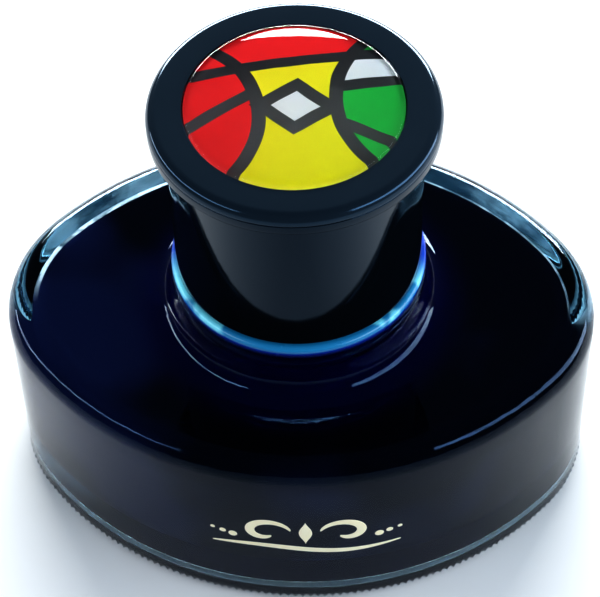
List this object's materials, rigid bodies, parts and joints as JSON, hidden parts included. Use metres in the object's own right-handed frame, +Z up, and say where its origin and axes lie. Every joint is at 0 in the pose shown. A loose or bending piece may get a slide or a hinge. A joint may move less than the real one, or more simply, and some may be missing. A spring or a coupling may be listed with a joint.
{
  "type": "ink bottle",
  "caption": "Low lens-shaped glass ink bottle with a short threaded neck and a tall glossy black screw cap that carries a domed badge.",
  "frame": {"origin": "middle of the base, on the surface that the bottle stands on", "axes": "+Z up along the neck, X along the bottle's long way, the printed front wall faces -Y"},
  "size_m": [0.0736, 0.0543, 0.0648],
  "materials": {
    "clear_glass": "clear, fire polished",
    "blue_ink": "dark blue liquid",
    "gold_print": "pale gold screen print",
    "black_cap": "high gloss black",
    "insert_plastic": "moulded black polypropylene",
    "liner_foam": "closed-cell foam",
    "badge_glue": "double-sided adhesive",
    "badge_art": "printed colour blocks",
    "clear_dome": "clear cast resin"
  },
  "bodies": {
    "bottle": {"glass_bottle": "clear_glass", "ink": "blue_ink", "front_print": "gold_print"},
    "liner": {"cap_liner": "liner_foam"},
    "cap": {"cap_shell": "black_cap", "cap_top": "black_cap", "threaded_insert": "insert_plastic", "badge_adhesive": "badge_glue", "badge_print": "badge_art", "badge_dome": "clear_dome"}
  },
  "joints": [
    {"name": "cap_rise", "type": "slide", "parent": "bottle", "child": "liner", "axis": [0, 0, 1], "range_m": [0, 0.0128]},
    {"name": "cap_turn", "type": "hinge", "parent": "liner", "child": "cap", "pos_m": [0, 0, 0.05], "axis": [0, 0, 1], "range_deg": [0, 1440]}
  ],
  "couplings": [
    {"joint": "cap_rise", "follows": "cap_turn", "m_per_rad": 0.00050532}
  ]
}
